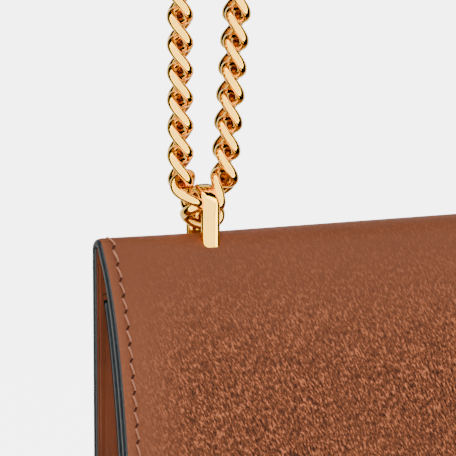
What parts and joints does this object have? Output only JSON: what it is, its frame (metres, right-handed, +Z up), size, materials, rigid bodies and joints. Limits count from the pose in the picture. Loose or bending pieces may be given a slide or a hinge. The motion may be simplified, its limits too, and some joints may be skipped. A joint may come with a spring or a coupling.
{
  "type": "chain wallet",
  "caption": "Flap wallet in grained leather with a bellows body, arched metal staples on its ridge and a doubled sliding curb chain strap.",
  "frame": {"origin": "underside of the strap's inner run at its highest point, where the strap rests on what it hangs from", "axes": "+X along the wallet's width, -Y towards its flap face, +Z up along the hanging strap"},
  "size_m": [0.193, 0.0266, 0.4066],
  "materials": {
    "chain_gold": "polished pale gold plating",
    "staple_gold": "polished pale gold plating",
    "zip_gold": "satin gold",
    "steel_inserts": "plain nickel-plated steel",
    "leatherboard": "bonded leather fibre board",
    "tan_leather": "fine pebbled calf with a soft sheen and dark painted edges",
    "brown_lining": "smooth red-brown lambskin",
    "zip_tape": "herringbone woven tape"
  },
  "bodies": {
    "strap": {"outer_chain_flat_links": "chain_gold", "outer_chain_cross_links": "chain_gold", "inner_chain_flat_links": "chain_gold", "inner_chain_cross_links": "chain_gold", "eye_links": "chain_gold", "eye_side_links": "chain_gold"},
    "case": {"left_staple": "staple_gold", "right_staple": "staple_gold", "left_backing_plate": "steel_inserts", "right_backing_plate": "steel_inserts", "staple_screws": "steel_inserts", "ridge_core": "leatherboard", "back_leather": "tan_leather", "back_lining": "brown_lining", "base_leather": "tan_leather", "base_lining": "brown_lining", "left_gusset": "brown_lining", "right_gusset": "brown_lining", "flap_fold": "tan_leather", "card_strip_1": "brown_lining", "card_strip_2": "brown_lining", "card_strip_3": "brown_lining", "card_front_pocket": "brown_lining"},
    "flap": {"flap_leather": "tan_leather", "flap_lining": "brown_lining", "flap_magnet": "steel_inserts"},
    "front_wall": {"front_leather": "tan_leather", "front_lining": "brown_lining", "front_magnet": "steel_inserts", "front_slip_pocket": "brown_lining"},
    "divider": {"pocket_rear_wall": "brown_lining", "pocket_front_wall": "brown_lining", "zip_tapes": "zip_tape", "zip_teeth": "zip_gold", "zip_stops": "zip_gold"},
    "slider": {"zip_slider": "zip_gold"},
    "puller": {"zip_puller": "zip_gold"}
  },
  "joints": [
    {"name": "case_swing", "type": "hinge", "parent": "strap", "child": "case", "pos_m": [0, 0, -0.2629], "axis": [1, 0, 0], "range_deg": [-25, 25]},
    {"name": "flap_hinge", "type": "hinge", "parent": "case", "child": "flap", "pos_m": [0, -0.00526, -0.27852], "axis": [-1, 0, 0], "range_deg": [0, 140], "deforming": ["flap_fold"]},
    {"name": "front_spread", "type": "hinge", "parent": "case", "child": "front_wall", "pos_m": [0, -0.018, -0.38957], "axis": [1, 0, 0], "range_deg": [0, 4], "deforming": ["left_gusset", "right_gusset"]},
    {"name": "divider_spread", "type": "hinge", "parent": "case", "child": "divider", "pos_m": [0, -0.009, -0.39057], "axis": [1, 0, 0], "range_deg": [0, 2]},
    {"name": "zip_slide", "type": "slide", "parent": "divider", "child": "slider", "axis": [1, 0, 0], "range_m": [0, 0.124]},
    {"name": "puller_swing", "type": "hinge", "parent": "slider", "child": "puller", "pos_m": [-0.062, -0.00069, -0.29558], "axis": [0, -0.9962, 0.0872], "range_deg": [0, 165]}
  ],
  "couplings": [
    {"joint": "front_spread", "follows": "flap_hinge", "ratio": 0.028571},
    {"joint": "divider_spread", "follows": "flap_hinge", "ratio": 0.014285}
  ]
}
